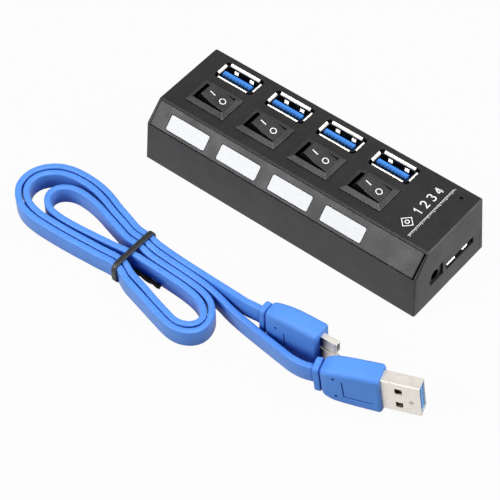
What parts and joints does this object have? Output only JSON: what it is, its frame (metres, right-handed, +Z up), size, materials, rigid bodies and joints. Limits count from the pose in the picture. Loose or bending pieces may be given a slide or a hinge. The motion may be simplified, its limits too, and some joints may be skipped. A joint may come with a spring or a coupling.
{
  "type": "usb hub",
  "caption": "Long low desktop USB hub with upright sockets, a rocker switch and a lit window for each, and a flat tied-up lead beside it.",
  "frame": {"origin": "middle of the hub's footprint, on the surface that it stands on", "axes": "+X along the case to the end with the inlets, -Y to the sloped side with the windows, +Z up"},
  "size_m": [0.149, 0.0871, 0.025],
  "materials": {
    "case_plastic": "fine textured black moulding",
    "window_plastic": "white translucent diffuser",
    "board_laminate": "green solder mask",
    "chip_plastic": "black epoxy",
    "nickel_steel": "nickel plated sheet",
    "capacitor_can": "drawn can",
    "led_body": "white package",
    "tongue_blue": "blue moulding",
    "contact_gold": "gold flash",
    "switch_plastic": "satin black nylon",
    "screw_steel": "zinc plated",
    "lead_jacket": "satin blue flexible jacket",
    "plug_grip": "satin blue overmould",
    "tie_paper": "dark coated wire tie"
  },
  "bodies": {
    "hub": {"housing": "case_plastic", "bottom_cover": "case_plastic", "sloped_panel": "case_plastic", "light_window_1": "window_plastic", "light_window_2": "window_plastic", "light_window_3": "window_plastic", "light_window_4": "window_plastic", "circuit_board": "board_laminate", "hub_controller": "chip_plastic", "crystal": "nickel_steel", "capacitors": "capacitor_can", "port_leds": "led_body", "power_led": "led_body", "usb_shell_1": "nickel_steel", "usb_shell_2": "nickel_steel", "usb_shell_3": "nickel_steel", "usb_shell_4": "nickel_steel", "usb_tongue_1": "tongue_blue", "usb_tongue_2": "tongue_blue", "usb_tongue_3": "tongue_blue", "usb_tongue_4": "tongue_blue", "usb_contacts_1": "contact_gold", "usb_contacts_2": "contact_gold", "usb_contacts_3": "contact_gold", "usb_contacts_4": "contact_gold", "switch_housing_1": "switch_plastic", "switch_housing_2": "switch_plastic", "switch_housing_3": "switch_plastic", "switch_housing_4": "switch_plastic", "switch_terminals_1": "contact_gold", "switch_terminals_2": "contact_gold", "switch_terminals_3": "contact_gold", "switch_terminals_4": "contact_gold", "dc_jack_body": "chip_plastic", "dc_jack_pin": "contact_gold", "dc_jack_spring": "nickel_steel", "micro_b_shell": "nickel_steel", "micro_b_tongue": "chip_plastic", "micro_b_contacts": "contact_gold", "case_screws": "screw_steel", "lead_hank": "lead_jacket", "lead_device_run": "lead_jacket", "lead_host_run": "lead_jacket", "lead_tie": "tie_paper", "plug_a_grip": "plug_grip", "plug_b_grip": "plug_grip", "plug_a_shell": "nickel_steel", "plug_b_shell": "nickel_steel", "plug_a_insert": "tongue_blue", "plug_b_insert": "chip_plastic", "plug_a_contacts": "contact_gold", "plug_b_contacts": "contact_gold"},
    "rocker_1": {"rocker_1": "switch_plastic"},
    "rocker_2": {"rocker_2": "switch_plastic"},
    "rocker_3": {"rocker_3": "switch_plastic"},
    "rocker_4": {"rocker_4": "switch_plastic"}
  },
  "joints": [
    {"name": "rocker_1_pivot", "type": "hinge", "parent": "hub", "child": "rocker_1", "pos_m": [-0.0369, -0.0009, 0.0191], "axis": [0, -1, 0], "range_deg": [0, 36]},
    {"name": "rocker_2_pivot", "type": "hinge", "parent": "hub", "child": "rocker_2", "pos_m": [-0.017, -0.0009, 0.0191], "axis": [0, -1, 0], "range_deg": [0, 36]},
    {"name": "rocker_3_pivot", "type": "hinge", "parent": "hub", "child": "rocker_3", "pos_m": [0.0029, -0.0009, 0.0191], "axis": [0, -1, 0], "range_deg": [0, 36]},
    {"name": "rocker_4_pivot", "type": "hinge", "parent": "hub", "child": "rocker_4", "pos_m": [0.0228, -0.0009, 0.0191], "axis": [0, -1, 0], "range_deg": [0, 36]}
  ]
}
